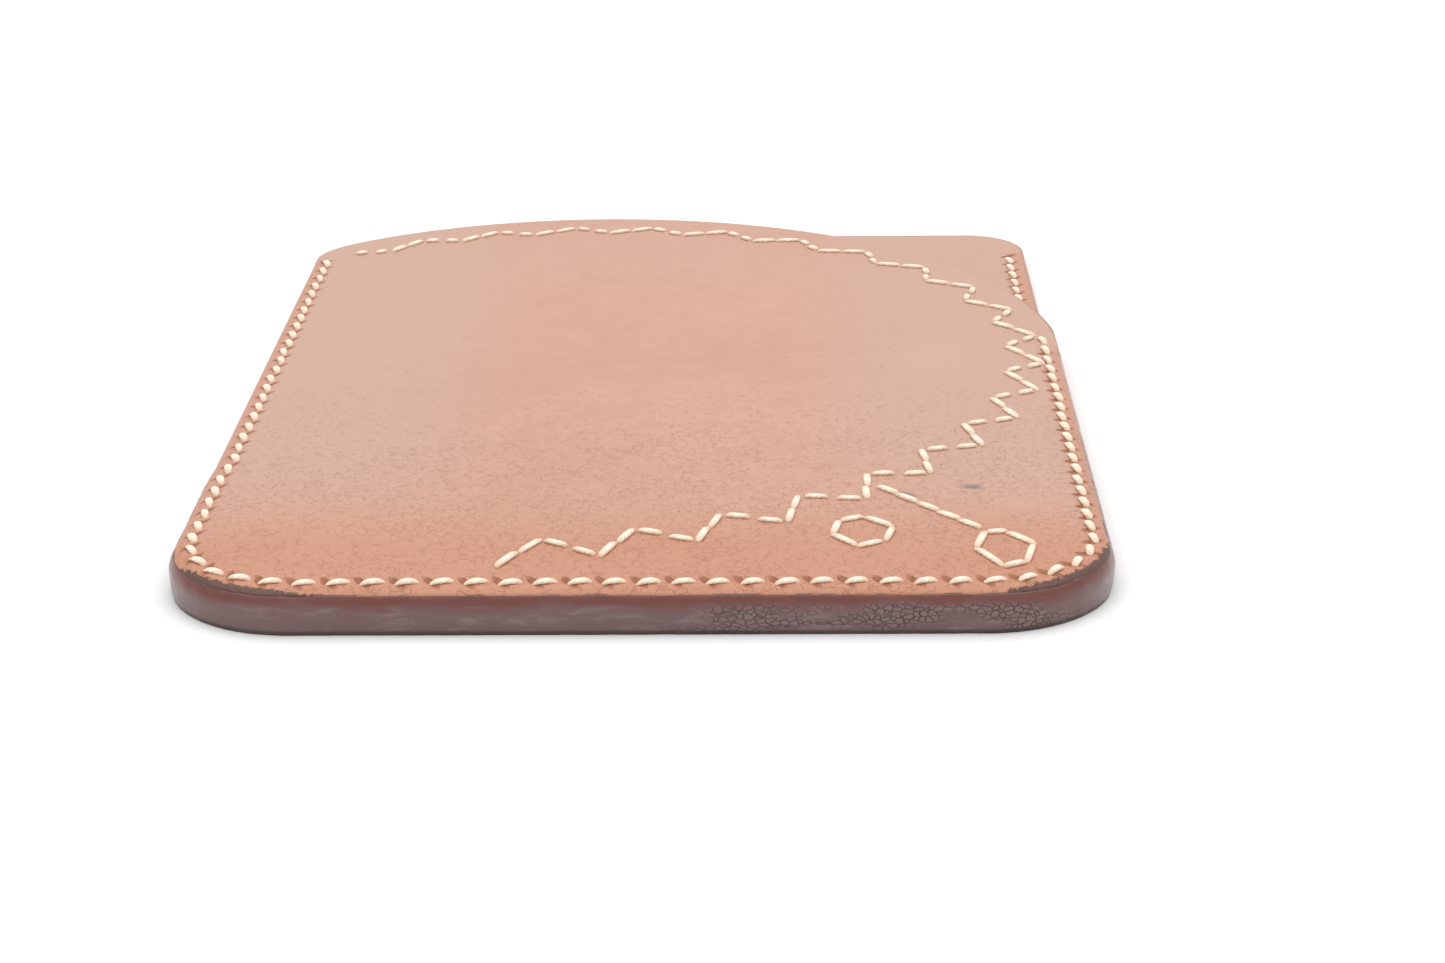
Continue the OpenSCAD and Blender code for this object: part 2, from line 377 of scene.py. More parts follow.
def cellsOf(tree, vector, scale, feature):
    node = addNode(tree, "ShaderNodeTexVoronoi", feature=feature)
    feed(tree, node.inputs["Vector"], vector)
    node.inputs["Scale"].default_value = scale
    return node.outputs["Distance"]


def mixed(tree, factor, a, b):
    node = addNode(tree, "ShaderNodeMix", data_type="RGBA")
    feed(tree, node.inputs[0], factor)
    feed(tree, node.inputs[6], a)
    feed(tree, node.inputs[7], b)
    return node.outputs[2]


def tinted(tree, colour, layers):
    # each layer (mask, amount, tint) moves the colour towards its tint
    for mask, amount, tint in layers:
        colour = mixed(tree, times(tree, mask, amount), colour, tint)
    return colour


def vectorMaths(tree, operation, a, b):
    node = addNode(tree, "ShaderNodeVectorMath", operation=operation)
    feed(tree, node.inputs[0], a)
    feed(tree, node.inputs["Scale" if operation == "SCALE" else 1], b)
    return node.outputs[0]


def warped(tree, vector, scale, amount):
    # the vector shifted by a noise's colour
    noise = noiseOf(tree, vector, scale, 2.0, output="Color")
    shift = vectorMaths(tree, "SUBTRACT", noise, (0.5, 0.5, 0.5))
    return vectorMaths(tree, "ADD", vector, vectorMaths(tree, "SCALE", shift, amount))


def newGroup(name, inputs, outputs):
    # inputs are names with their kind of socket, outputs are names of numbers
    tree = bpy.data.node_groups.new(name, "ShaderNodeTree")
    for label, kind in inputs.items():
        tree.interface.new_socket(label, in_out="INPUT", socket_type="NodeSocket" + kind)
    for label in outputs:
        tree.interface.new_socket(label, in_out="OUTPUT", socket_type="NodeSocketFloat")
    return tree, addNode(tree, "NodeGroupInput").outputs, addNode(tree, "NodeGroupOutput").inputs


def useGroup(tree, group, **values):
    node = addNode(tree, "ShaderNodeGroup", node_tree=group)
    for label, value in values.items():
        feed(tree, node.inputs[label.replace("_", " ")], value)
    return node.outputs


def newMaterial(name):
    material = bpy.data.materials.new(name)
    material.use_nodes = True
    tree = material.node_tree
    tree.nodes.clear()
    shader = addNode(tree, "ShaderNodeBsdfPrincipled")
    output = addNode(tree, "ShaderNodeOutputMaterial")
    tree.links.new(shader.outputs[0], output.inputs["Surface"])
    return material, tree, shader


def bumpOf(tree, height, strength, distance, normal=None):
    node = addNode(tree, "ShaderNodeBump")
    node.inputs["Strength"].default_value = strength
    node.inputs["Distance"].default_value = distance
    feed(tree, node.inputs["Height"], height)
    if normal is not None:
        tree.links.new(normal, node.inputs["Normal"])
    return node.outputs[0]


grain = {
    "pebbleScale": 2300.0,
    "pebbleHeight": 0.8,
    "creaseScale": 1050.0,
    "creaseLine": (0.005, 0.065),      # a crease fades out over this share of a cell
    "creaseHeight": 0.8,
    "breakScale": 1500.0,              # noise that breaks the creases up
    "patchScale": 150.0,               # and gathers them in patches
    "slowScale": 38.0,
    "middleScale": 260.0,
    "poreScale": 3800.0,
    "poreHeight": 0.35,
}


def grainGroup():
    # fine pebbled grain, short broken creases, pores and slow mottling
    tree, start, end = newGroup("leatherGrain", {"Vector": "Vector", "Crease Cover": "Float"},
                                ["Height", "Crease", "Mottle", "Pore", "Pebble"])
    vector = start["Vector"]
    pebble = cellsOf(tree, warped(tree, vector, 1500.0, 0.00045), grain["pebbleScale"], "SMOOTH_F1")
    border = cellsOf(tree, warped(tree, vector, 1300.0, 0.0012), grain["creaseScale"], "DISTANCE_TO_EDGE")
    breaks = noiseOf(tree, vector, grain["breakScale"], 2.0)
    patches = noiseOf(tree, vector, grain["patchScale"])
    shown = plus(tree, times(tree, patches, 0.5), breaks)
    threshold = minus(tree, 1.15, times(tree, start["Crease Cover"], 0.5))
    crease = times(tree, fadeOut(tree, border, *grain["creaseLine"]),
                   remap(tree, minus(tree, shown, threshold), -0.06, 0.10))
    mottle = plus(tree, times(tree, noiseOf(tree, vector, grain["slowScale"], 4.0), 0.6),
                  times(tree, noiseOf(tree, vector, grain["middleScale"]), 0.4))
    pore = noiseOf(tree, vector, grain["poreScale"], 2.0, 0.7)
    bumps = times(tree, pebble, grain["pebbleHeight"])
    height = minus(tree, bumps, times(tree, crease, grain["creaseHeight"]))
    height = plus(tree, height, times(tree, pore, grain["poreHeight"]))
    feed(tree, end["Height"], height)
    feed(tree, end["Crease"], crease)
    feed(tree, end["Mottle"], mottle)
    feed(tree, end["Pore"], pore)
    feed(tree, end["Pebble"], pebble)
    return tree


stitchMarks = {
    "slant": 0.9,              # angle between the slits and the seam
    "slitLength": 1.10,        # half length and half width of a slit
    "slitWidth": 0.36,
    "wornEdge": (2.1, 3.2),    # the worn margin ends between these distances from the edge
    "dyeEdge": (0.42, 0.62),   # and the edge dye between these
}


def seamGroup():
    # painted shade in the slanted slits where the thread goes in: an ellipse about the nearest hole, turned
    # by the slant, with the places along and across the seam from seamPhase and edgeDistance; the worn
    # margin; the edge dye
    tree, start, end = newGroup("seamMarks", {"Vector": "Vector"}, ["Slit", "Worn", "Dye"])
    phase = attributeOf(tree, "seamPhase")
    distance = attributeOf(tree, "edgeDistance")
    sewn = attributeOf(tree, "sewn")
    along = times(tree, minus(tree, phase, maths(tree, "ROUND", phase)), seam["pitch"])
    across = minus(tree, distance, seam["margin"])
    cosine, sine = math.cos(stitchMarks["slant"]), math.sin(stitchMarks["slant"])
    lengthwise = minus(tree, times(tree, along, cosine), times(tree, across, sine))
    sideways = plus(tree, times(tree, along, sine), times(tree, across, cosine))
    rough = noiseOf(tree, start["Vector"], 2200.0, 2.0)
    size = plus(tree, maths(tree, "POWER", maths(tree, "DIVIDE", lengthwise, stitchMarks["slitLength"]), 2.0),
                maths(tree, "POWER", maths(tree, "DIVIDE", sideways, stitchMarks["slitWidth"]), 2.0))
    slitShade = fadeOut(tree, plus(tree, size, times(tree, rough, 0.8)), 0.5, 1.8)
    worn = fadeOut(tree, plus(tree, distance, times(tree, rough, 0.9)), *stitchMarks["wornEdge"])
    streak = noiseOf(tree, warped(tree, start["Vector"], 500.0, 0.0008), 1400.0, 3.0, 0.65)
    past = minus(tree, plus(tree, distance, times(tree, streak, 1.1)), attributeOf(tree, "stainReach"))
    feed(tree, end["Slit"], times(tree, slitShade, sewn))
    feed(tree, end["Worn"], times(tree, worn, sewn))
    feed(tree, end["Dye"], fadeOut(tree, past, *stitchMarks["dyeEdge"]))
    return tree


def spotGroup():
    # a soft round mark at a place, broken up by noise
    tree, start, end = newGroup("softMark", {"Vector": "Vector", "Place": "Vector", "Size": "Vector",
                                             "Angle": "Float"}, ["Mask"])
    turned = addNode(tree, "ShaderNodeVectorRotate", rotation_type="Z_AXIS")
    feed(tree, turned.inputs["Vector"], vectorMaths(tree, "SUBTRACT", start["Vector"], start["Place"]))
    feed(tree, turned.inputs["Angle"], start["Angle"])
    length = addNode(tree, "ShaderNodeVectorMath", operation="LENGTH")
    feed(tree, length.inputs[0], vectorMaths(tree, "DIVIDE", turned.outputs[0], start["Size"]))
    rough = noiseOf(tree, start["Vector"], 1700.0)
    reach = plus(tree, length.outputs["Value"], times(tree, rough, 1.2))
    feed(tree, end["Mask"], fadeOut(tree, reach, 0.75, 1.65))
    return tree


groups = {"grain": grainGroup(), "seam": seamGroup(), "spot": spotGroup()}
print("shared shader groups ready")


leather = {
    "tan": (0.500, 0.264, 0.180, 1),
    "light": (0.534, 0.297, 0.210, 1),
    "warm": (0.495, 0.224, 0.138, 1),      # the sewn end
    "paintedSheen": (0.498, 0.308, 0.237, 1),      # painted sheen towards the long edges and the far end
    "worn": (0.500, 0.218, 0.124, 1),      # the sewn margin
    "crease": (0.300, 0.098, 0.042, 1),
    # painted shade inside the stitch slits
    "slitShade": (0.270, 0.072, 0.018, 1),
    "stain": (0.042, 0.018, 0.020, 1),     # edge dye that ran onto the margin
    "roughness": 0.42,
}

marks = [
    {"at": (21.7, -34.1, 4.3), "size": (1.3, 0.9, 3.0), "angle": 0.6, "amount": 0.88,
     "colour": (0.13, 0.13, 0.14, 1)},
    {"at": (27.3, -32.2, 4.3), "size": (1.4, 0.9, 3.0), "angle": 0.2, "amount": 0.85,
     "colour": (0.16, 0.14, 0.14, 1)},
    {"at": (26.0, 3.0, 4.3), "size": (5.5, 7.0, 3.0), "angle": 0.3, "amount": 0.25,
     "colour": (0.50, 0.35, 0.28, 1)},
]


def makeLeather(name, creaseCover, spots=()):
    material, tree, shader = newMaterial(name)
    place = objectPlace(tree)
    creased = attributeOf(tree, "creased")
    warm = attributeOf(tree, "warm")
    skin = useGroup(tree, groups["grain"], Vector=place,
                    Crease_Cover=plus(tree, creaseCover, times(tree, creased, 0.55)))
    sewing = useGroup(tree, groups["seam"], Vector=place)
    colour = mixed(tree, remap(tree, skin["Mottle"], 0.34, 0.66), leather["tan"], leather["light"])
    drift = times(tree, minus(tree, skin["Mottle"], 0.5), 1.6)
    colour = tinted(tree, colour, [
        # painted sheen
        (attributeOf(tree, "paintedSheen"), 0.9, leather["paintedSheen"]),
        (warm, plus(tree, 1.0, drift), leather["warm"]),
        (sewing["Worn"], 0.6, leather["worn"]),
        (remap(tree, skin["Pore"], 0.52, 0.75), 0.16, leather["crease"]),
        (remap(tree, skin["Pebble"], 0.35, 0.75), plus(tree, 0.04, times(tree, creased, 0.10)),
         leather["crease"]),
        (skin["Crease"], plus(tree, 0.08, times(tree, creased, 0.27)), leather["crease"]),
    ])
    for spot in spots:
        mask = useGroup(tree, groups["spot"], Vector=place, Place=[v * mm for v in spot["at"]],
                        Size=[v * mm for v in spot["size"]], Angle=spot["angle"])["Mask"]
        colour = tinted(tree, colour, [(mask, spot["amount"], spot["colour"])])
    # edge dye, then painted shade in the stitch slits
    colour = tinted(tree, colour, [(sewing["Dye"], 0.85, leather["stain"]),
                                   (sewing["Slit"], 1.0, leather["slitShade"])])
    feed(tree, shader.inputs["Base Color"], colour)
    shine = plus(tree, leather["roughness"], times(tree, skin["Mottle"], 0.16))
    feed(tree, shader.inputs["Roughness"], shine)
    relief = bumpOf(tree, skin["Height"], 0.7, 0.00007)
    relief = bumpOf(tree, times(tree, sewing["Slit"], -1.0), 0.9, 0.00018, relief)
    feed(tree, shader.inputs["Normal"], relief)
    return material


edgeFinish = {
    "red": (0.150, 0.038, 0.028, 1),
    "purple": (0.152, 0.080, 0.077, 1),
    "sheenAndCrazeGrey": (0.222, 0.150, 0.145, 1),      # painted grey sheen on the lower band; the crackled cells take the same grey
    "dark": (0.055, 0.018, 0.013, 1),
    "ridge": (0.420, 0.310, 0.280, 1),
    "footShade": (0.045, 0.028, 0.018, 1),     # painted contact shade along the foot of the edge
    "pale": (0.400, 0.218, 0.150, 1),      # paler edge colour, towards the far end and on the bead coats
    "crackScale": 1900.0,
    "roughness": 0.22,
    "coatWeight": 0.25,
    "coatRoughness": 0.2,
}


def makeEdgeCoat(name):
    # red above and purple below, a painted grey sheen on the lower band, a dark line and a broken pale ridge
    # at the top, a crackled stretch
    material, tree, shader = newMaterial(name)
    place = objectPlace(tree)
    height = attributeOf(tree, "coatHeight")
    long = stretched(tree, place, (0.35, 0.35, 1.6))
    blotch = noiseOf(tree, long, 330.0, 5.0, 0.65)
    level = plus(tree, height, times(tree, minus(tree, blotch, 0.5), 0.8))
    sheenPatches = remap(tree, noiseOf(tree, long, 700.0, 4.0, 0.7), 0.48, 0.68)
    ragged = plus(tree, height, times(tree, noiseOf(tree, place, 1500.0), 0.08))
    bent = warped(tree, stretched(tree, place, (0.8, 0.8, 1.3)), 1200.0, 0.0004)
    border = cellsOf(tree, bent, edgeFinish["crackScale"], "DISTANCE_TO_EDGE")
    patchy = remap(tree, noiseOf(tree, long, 420.0), 0.40, 0.56)
    cracked = times(tree, times(tree, attributeOf(tree, "crackle"), remap(tree, height, 0.74, 0.56)), patchy)
    cracks = times(tree, fadeOut(tree, border, 0.01, 0.09), cracked)
    broken = remap(tree, noiseOf(tree, place, 260.0), 0.50, 0.60)
    colour = mixed(tree, remap(tree, level, 0.42, 0.74), edgeFinish["purple"], edgeFinish["red"])
    colour = tinted(tree, colour, [
        # painted sheen: grey patches over the lower band
        (times(tree, sheenPatches, remap(tree, height, 0.72, 0.5)), 0.7, edgeFinish["sheenAndCrazeGrey"]),
        (remap(tree, ragged, 0.83, 0.87), 0.7, edgeFinish["dark"]),
        (cracked, 0.45, edgeFinish["sheenAndCrazeGrey"]),
        (cracks, 0.80, edgeFinish["dark"]),
        (times(tree, remap(tree, ragged, 0.90, 0.93), broken), 0.6, edgeFinish["ridge"]),
        # painted contact shade along the foot of the edge
        (remap(tree, height, 0.12, 0.07), 0.85, edgeFinish["footShade"]),
        (attributeOf(tree, "pale"), 1.0, edgeFinish["pale"]),
    ])
    feed(tree, shader.inputs["Base Color"], colour)
    lines = noiseOf(tree, stretched(tree, place, (0.25, 0.25, 2.2)), 2600.0, 3.0, 0.6)
    feed(tree, shader.inputs["Roughness"], plus(tree, edgeFinish["roughness"], times(tree, lines, 0.28)))
    shader.inputs["Coat Weight"].default_value = edgeFinish["coatWeight"]
    shader.inputs["Coat Roughness"].default_value = edgeFinish["coatRoughness"]
    relief = bumpOf(tree, lines, 0.3, 0.00006)
    relief = bumpOf(tree, noiseOf(tree, place, 420.0), 0.5, 0.00022, relief)
    relief = bumpOf(tree, times(tree, cracks, -1.0), 0.9, 0.00014, relief)
    feed(tree, shader.inputs["Normal"], relief)
    return material


threadFinish = {
    "cream": (0.93, 0.80, 0.66, 1),
    "shadow": (0.62, 0.40, 0.24, 1),
    "roughness": 0.55,
    "plies": 3.0,
    "twist": 1.6,          # plies passed in each millimetre
}


def makeThread(name):
    # twist lines run round the thread: a wave in the sum of the lengthwise and round-the-thread coordinates
    material, tree, shader = newMaterial(name)
    twist = plus(tree, times(tree, attributeOf(tree, "around"), threadFinish["plies"]),
                 times(tree, attributeOf(tree, "along"), threadFinish["twist"]))
    ply = maths(tree, "ABSOLUTE", maths(tree, "SINE", times(tree, twist, pi)))
    fuzz = noiseOf(tree, objectPlace(tree), 9000.0, 2.0)
    colour = tinted(tree, threadFinish["cream"], [
        (remap(tree, ply, 0.45, 0.0), 0.30, threadFinish["shadow"]),
        (attributeOf(tree, "ends"), 0.7, threadFinish["shadow"]),
    ])
    feed(tree, shader.inputs["Base Color"], colour)
    shader.inputs["Roughness"].default_value = threadFinish["roughness"]
    shader.inputs["Sheen Weight"].default_value = 0.15
    shader.inputs["Sheen Roughness"].default_value = 0.5
    feed(tree, shader.inputs["Normal"], bumpOf(tree, plus(tree, ply, times(tree, fuzz, 0.3)), 0.35, 0.00008))
    return material


fleshFinish = {
    "dark": (0.42, 0.25, 0.15, 1),
    "light": (0.55, 0.36, 0.24, 1),
    "roughness": 0.9,
}


def makeFlesh(name):
    material, tree, shader = newMaterial(name)
    nap = noiseOf(tree, objectPlace(tree), 1900.0, 5.0, 0.7)
    colour = mixed(tree, remap(tree, nap, 0.35, 0.65), fleshFinish["dark"], fleshFinish["light"])
    feed(tree, shader.inputs["Base Color"], colour)
    shader.inputs["Roughness"].default_value = fleshFinish["roughness"]
    feed(tree, shader.inputs["Normal"], bumpOf(tree, nap, 0.6, 0.00012))
    return material


def insetRings(path, distances, centre, spokes):
    # the path drawn in by each distance along its normals, then drawn evenly towards the centre;
    # far in, the normals are averaged over their neighbours so that no two columns cross
    kernel = np.hanning(17)[1:-1]
    around = np.vstack([path[-7:, 2:], path[:, 2:], path[:7, 2:]])
    calm = np.stack([np.convolve(around[:, k], kernel / kernel.sum(), "valid") for k in (0, 1)], 1)
    calm = calm / np.linalg.norm(calm, axis=1, keepdims=True)
    insets = []
    for distance in distances:
        reach = np.zeros((len(path), 1)) + np.reshape(distance, (-1, 1))
        share = ramp((reach - 2.5) / 3)
        insets.append(path[:, :2] - reach * (path[:, 2:] * (1 - share) + calm * share))
    insets = np.stack(insets)
    shrink = np.linspace(1, 0, spokes + 1)[1:-1, None, None]
    return np.concatenate([insets, centre + (insets[-1] - centre) * shrink])


def closedPanel(name, path, top, bottom, wall, material, centre):
    # rings run from the middle of the underside out to the edge, up its wall and back to the middle on top;
    # top and bottom are (distances, spokes, height function), wall is rows of (distance, height)
    centre = np.array(centre, float)
    low = insetRings(path, bottom[0], centre, bottom[1])[::-1]
    high = insetRings(path, top[0], centre, top[1])
    side = np.stack([path[:, :2] - np.reshape(d, (-1, 1)) * path[:, 2:] for d, z in wall])
    sideZ = np.stack([np.zeros(len(path)) + z for d, z in wall])
    flat = np.concatenate([low, side, high])
    height = np.concatenate([bottom[2](low[..., 0], low[..., 1]), sideZ, top[2](high[..., 0], high[..., 1])])
    rows, columns = height.shape
    points = np.concatenate([flat, height[..., None]], -1).reshape(-1, 3)
    poles = [[*centre, float(bottom[2](*centre))], [*centre, float(top[2](*centre))]]
    j = np.arange(columns)
    after = (j + 1) % columns
    last = (rows - 1) * columns
    under = np.stack([j, np.full(columns, rows * columns), after], 1)
    over = np.stack([last + j, last + after, np.full(columns, rows * columns + 1)], 1)
    faces = gridFaces(rows, columns).tolist() + under.tolist() + over.tolist()
    piece = newPiece(name, np.vstack([points, poles]), faces, material)
    inward = np.stack([np.zeros(columns) + d for d in bottom[0][::-1] + [d for d, z in wall] + top[0]])
    distance = np.full((rows, columns), 50.0)
    first = bottom[1] - 1
    distance[first:first + len(inward)] = inward
    keepAttribute(piece, "edgeDistance", np.append(distance, [50.0, 50.0]))
    return piece, rows, columns


def sweptBand(name, path, section, material):
    # a closed section, rows of (outward, height) for each point of the path, carried along it and capped;
    # the section runs anticlockwise seen along the path
    rows, columns = section.shape[:2]
    flat = path[:, None, :2] + section[..., :1] * path[:, None, 2:]
    points = np.concatenate([flat, section[..., 1:]], -1).reshape(-1, 3)
    caps = [points[:columns].mean(0), points[-columns:].mean(0)]
    j = np.arange(columns)
    after = (j + 1) % columns
    near = np.stack([j, after, np.full(columns, rows * columns)], 1)
    far = np.stack([(rows - 1) * columns + after, (rows - 1) * columns + j,
                    np.full(columns, rows * columns + 1)], 1)
    quads = gridFaces(rows, columns)[:, ::-1]
    return newPiece(name, np.vstack([points, caps]), quads.tolist() + near.tolist() + far.tolist(), material)


def seamTable(path):
    # distance along the seam for each point of an outline, 0 at the first stitch hole
    inset = path[:, :2] - seam["margin"] * path[:, 2:]
    length = np.append(0, np.cumsum(np.hypot(*np.diff(inset, axis=0).T)))
    left = np.argmax(inset[:, 1] < holder["nearY"] + holder["nearCorner"])
    start = np.interp(-seam["startY"], -inset[:left, 1], length[:left])
    return inset, length - start


def seamHoles():
    path = joined([sideRun(leftX, 45, holder["nearY"] + holder["nearCorner"], -1, 0.25)] + nearRun(0.25)
                  + [sideRun(rightX, holder["mouthY"], 47, 1, 0.25)])
    inset, length = seamTable(path)
    at = seam["pitch"] * np.arange(seam["stitches"] + 1)
    return np.stack([np.interp(at, length, inset[:, 0]), np.interp(at, length, inset[:, 1])], 1)


holes = seamHoles()
print("seam holes", len(holes))


def stitchMesh(name, starts, ends, ground, shape, seed, up=1, extra=0.0):
    # each stitch is a lens-shaped tube: its middle line arches from hole to hole and dives in at both ends,
    # its width and height follow the root of 1 - |2t - 1|^blunt
    rng = np.random.default_rng(seed)
    count, rings, around = len(starts), shape["rings"], shape["around"]
    t = (np.arange(rings) + 0.5) / rings
    t = np.concatenate([[0.0], t, [1.0]])
    bow = np.abs(2 * t - 1)
    along = ends - starts
    length = np.linalg.norm(along, axis=1, keepdims=True)
    unit = along / length
    across = np.stack([-unit[:, 1], unit[:, 0]], 1)
    wobble = rng.normal(0, 1, (count, 4))
    gap = shape["gap"] + 0.02 * wobble[:, :1] + np.reshape(extra, (-1, 1))
    share = gap / length + (1 - 2 * gap / length) * t[None, :]
    lean = (shape["slant"] + 0.05 * wobble[:, 1:2]) * (t[None, :] - 0.5)
    lean = lean + shape["shift"] * wobble[:, 2:3]
    middle = starts[:, None] + along[:, None] * share[..., None] + across[:, None] * lean[..., None]
    lift = shape["lift"] * (1 + 0.08 * wobble[:, 3:4])
    arch = lift - (lift + shape["dive"]) * bow[None, :] ** shape["flat"]
    height = ground(middle[..., 0], middle[..., 1]) + up * arch
    width = shape["halfWidth"] * np.sqrt(1 - bow[1:-1] ** shape["blunt"]) * (1 + 0.05 * wobble[:, 1:2])
    thick = shape["halfHeight"] * np.sqrt(1 - bow[1:-1] ** shape["blunt"]) * (1 + 0.05 * wobble[:, 3:4])
    angle = 2 * pi * np.arange(around) / around - pi / 2
    body = middle[:, 1:-1, None, :] + across[:, None, None, :] * (width[..., None] * np.cos(angle))[..., None]
    bodyZ = height[:, 1:-1, None] + up * thick[..., None] * np.sin(angle)
    points = np.concatenate([body, bodyZ[..., None]], -1).reshape(count, -1, 3)
    tips = np.concatenate([middle[:, [0, -1]], height[:, [0, -1], None]], -1)
    points = np.concatenate([points, tips], 1)
    each = rings * around + 2
    j = np.arange(around)
    after = (j + 1) % around
    last = (rings - 1) * around
    start = np.stack([np.full(around, each - 2), after, j], 1)
    end = np.stack([np.full(around, each - 1), last + j, last + after], 1)
    quads = gridFaces(rings, around)
    if up < 0:
        quads, start, end = quads[:, ::-1], start[:, ::-1], end[:, ::-1]
    step = each * np.arange(count)[:, None, None]
    faces = []
    for block in (quads, start, end):
        faces += (block[None] + step).reshape(-1, block.shape[1]).tolist()
    piece = newPiece(name, points.reshape(-1, 3), faces, material["thread"])
    perRing = np.repeat(bow[1:-1], around)
    keepAttribute(piece, "ends", np.tile(np.append(perRing, [1, 1]), count))
    turn = np.append(np.tile(np.arange(around) / around, rings), [0, 0])
    keepAttribute(piece, "around", np.tile(turn, count))
    alongStitch = t[None, :] * length + rng.random((count, 1)) * 3
    middleAlong = np.repeat(alongStitch[:, 1:-1], around, axis=1)
    keepAttribute(piece, "along", np.concatenate([middleAlong, alongStitch[:, [0, -1]]], 1))
    return piece


material = {
    "front": makeLeather("tanLeather", 0.45, marks),
    "leather": makeLeather("tanLeatherBack", 0.35),
    "flesh": makeFlesh("fleshSide"),
    "thread": makeThread("creamThread"),
    "edge": makeEdgeCoat("burnishedEdge"),
}
print("materials ready")


frontRings = {
    "column": 0.3,
    "mouthColumn": 0.6,
    "lip": 0.47,           # the grain side starts here, beside the edge coat
    "fine": 0.15,          # ring spacing over the sewn margin
    "fineEnd": 3.2,
    "wide": [3.6, 4.2, 5.0, 6.0, 7.2],
    "spokes": 22,
    "under": [0.8, 2.0, 3.2, 5.0, 7.2],
    "underSpokes": 14,
    "wall": 0.59,          # the panel's own cut edge, inside the edge coat
    "middle": (-1.0, -7.0),
}

wearAndSheen = {
    "warmEnd": 5.0,        # warm colour up to this distance from the sewn end
    "warmRun": 15.0,
    "sheenStart": 10.0,     # painted sheen from this distance off the middle line
    "sheenRun": 16.0,
    "farSheen": 0.35,       # and some of it all over the far end
    "nearClear": 8.0,      # none of it up to this distance from the sewn end
    "nearRun": 26.0,
    "creaseY": -28.0,      # creases are dense on the sewn end's side of this line
    "creaseRun": 34.0,
    "creaseShare": 0.75,
    "stain": 0.25,         # reach of the edge dye along the sewn end
    "cornerStain": 0.80,   # and how much further it runs at the two corners
}


def stainReach(path):
    # the dye runs furthest round the two near corners
    x, y = path[:, 0], path[:, 1]
    left = ramp((x + 38) / 3) * (1 - ramp((x + 30) / 8)) * (1 - ramp((y + 46) / 4))
    right = ramp((x - 26) / 6) * (1 - ramp((y + 46) / 6))
    return wearAndSheen["stain"] + wearAndSheen["cornerStain"] * np.maximum(left, right) - 0.7 * ramp((y + 38) / 25)


def shadeFront(piece):
    # slow changes of colour over the panel, each a smooth ramp of the place, one of them a painted sheen
    # towards the long edges and the far end
    x, y = placesOf(piece)[:, :2].T
    near = y - holder["nearY"]
    keepAttribute(piece, "warm", 1 - ramp((near - wearAndSheen["warmEnd"]) / wearAndSheen["warmRun"]))
    side = ramp((np.abs(x) - wearAndSheen["sheenStart"]) / wearAndSheen["sheenRun"])
    sheenAmount = np.maximum(side, wearAndSheen["farSheen"] * ramp((y - 15) / 25))
    keepAttribute(piece, "paintedSheen", sheenAmount * ramp((near - wearAndSheen["nearClear"]) / wearAndSheen["nearRun"]))
    crease = 1 - ramp((y - wearAndSheen["creaseY"]) / wearAndSheen["creaseRun"])
    keepAttribute(piece, "creased", wearAndSheen["creaseShare"] * crease)


def makeFrontPanel():
    path = loopOf([sewnPath(frontRings["column"], mouthCornerCentre[1]),
                   mouthPath(frontRings["mouthColumn"])])
    fine = np.arange(frontRings["lip"], frontRings["fineEnd"], frontRings["fine"])
    distances = list(fine) + frontRings["wide"]
    share = sewnShare(path[:, 0], path[:, 1])
    wallTop = frontTop(*(path[:, :2] - fine[0] * path[:, 2:]).T)
    edge = frontRings["wall"]
    wall = [(edge, holder["weltTopZ"] + 0.1), (edge, wallTop - 0.25), (0.5, wallTop - 0.1)]
    piece, rows, columns = closedPanel("frontPanel", path, (distances, frontRings["spokes"], frontTop),
                                       (frontRings["under"], frontRings["underSpokes"], frontUnder),
                                       wall, material["front"], frontRings["middle"])
    _, length = seamTable(path)
    sewn = share * np.where(length < seam["pitch"] * (seam["frontStitches"] + 0.3), 1, 0)
    keepColumns(piece, "seamPhase", length / seam["pitch"], rows)
    keepColumns(piece, "sewn", sewn, rows)
    keepColumns(piece, "stainReach", stainReach(path), rows)
    shadeFront(piece)
    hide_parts("front_panel")
    return piece


frontPanel = makeFrontPanel()
print("front panel", len(frontPanel.data.polygons))


weltBand = {
    "outer": 0.6,
    "inner": 6.0,
    "round": 0.18,
    "leftEndY": 39.2,
    "rightEndY": 11.4,
}


def makeWelt():
    low, high = holder["backTopZ"], holder["weltTopZ"]
    cornerEnd = math.asin((weltBand["leftEndY"] - mouthCornerCentre[1]) / holder["mouthCorner"])
    mouthEnd = math.asin((weltBand["rightEndY"] - holder["mouthY"]) / holder["mouthRadius"])
    path = joined([arcRun(mouthCornerCentre, holder["mouthCorner"], pi - cornerEnd, pi, 0.6),
                   sewnPath(0.8, mouthCornerCentre[1]),
                   arcRun(mouthCentre, holder["mouthRadius"], 0, mouthEnd, 0.6)])
    r = weltBand["round"]
    corner = np.linspace(0, pi / 2, 4)
    inner = np.stack([-weltBand["inner"] + r * (1 - np.sin(corner)),
                      high - r * (1 - np.cos(corner))], 1)[::-1]
    outline = np.vstack([[[-weltBand["outer"], low], [-weltBand["outer"], high]],
                         inner[::-1], inner * [1, -1] + [0, low + high]])
    section = np.broadcast_to(outline, (len(path),) + outline.shape)
    piece = sweptBand("weltBand", path, section, material["flesh"])
    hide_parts("welt")
    return piece


makeWelt()


